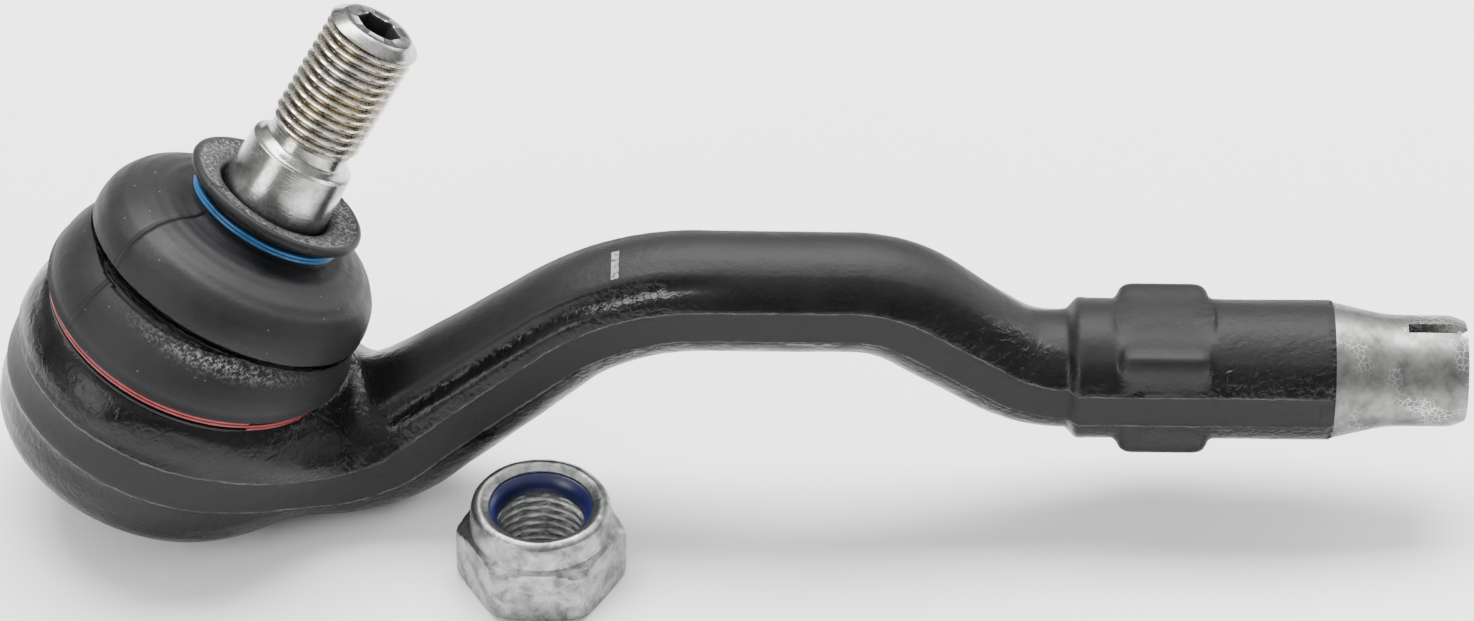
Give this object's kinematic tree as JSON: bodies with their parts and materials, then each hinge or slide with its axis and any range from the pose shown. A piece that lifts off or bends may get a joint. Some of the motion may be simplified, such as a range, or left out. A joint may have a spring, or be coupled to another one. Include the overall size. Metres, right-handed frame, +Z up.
{
  "type": "tie rod end",
  "caption": "Cranked forged steering tie rod end with a booted ball stud, a slotted internally threaded clamping shank and a loose nylon-insert lock nut.",
  "frame": {"origin": "centre of the ball, on the shank's axis", "axes": "+X along the shank's axis to its threaded end, +Z up, square to the shank's forging plane; the cranked arm lies in the plane Y = 0"},
  "size_m": [0.2162, 0.0556, 0.0788],
  "materials": {
    "black_forging": "semi-gloss black dip paint on an as-forged steel skin, bare machined steel at the slotted end",
    "turned_steel": "fine turned and rolled steel",
    "plated_steel": "zinc-plated",
    "spring_steel": "dark spring steel",
    "race_plastic": "moulded acetal",
    "boot_rubber": "matte moulded chloroprene",
    "red_ring": "red lacquered spring wire",
    "blue_ring": "blue coated wire",
    "blue_nylon": "moulded nylon"
  },
  "bodies": {
    "housing": {"housing_arm": "black_forging", "closing_plate": "plated_steel", "preload_spring": "spring_steel", "lower_race": "race_plastic", "upper_race": "race_plastic", "lower_boot_ring": "red_ring"},
    "boot": {"dust_boot": "boot_rubber"},
    "boot_top": {"upper_boot_ring": "blue_ring"},
    "stud": {"ball_stud": "turned_steel"},
    "nut": {"lock_nut": "plated_steel", "nylon_insert": "blue_nylon"}
  },
  "joints": [
    {"name": "swing_direction", "type": "hinge", "parent": "housing", "child": "boot", "pos_m": [0, 0, 0], "axis": [0.3584, 0, 0.9336], "continuous": true},
    {"name": "stud_swing", "type": "hinge", "parent": "boot", "child": "boot_top", "pos_m": [0, 0, 0], "axis": [-0.76, 0.5807, 0.2918], "range_deg": [-39.7, 8.3], "deforming": ["dust_boot"]},
    {"name": "stud_spin", "type": "hinge", "parent": "boot_top", "child": "stud", "pos_m": [0, 0, 0], "axis": [0.4917, 0.2203, 0.8424], "continuous": true},
    {"name": "nut_lift", "type": "slide", "parent": "housing", "child": "nut", "axis": [0, 0, 1], "range_m": [0, 0.06]}
  ]
}
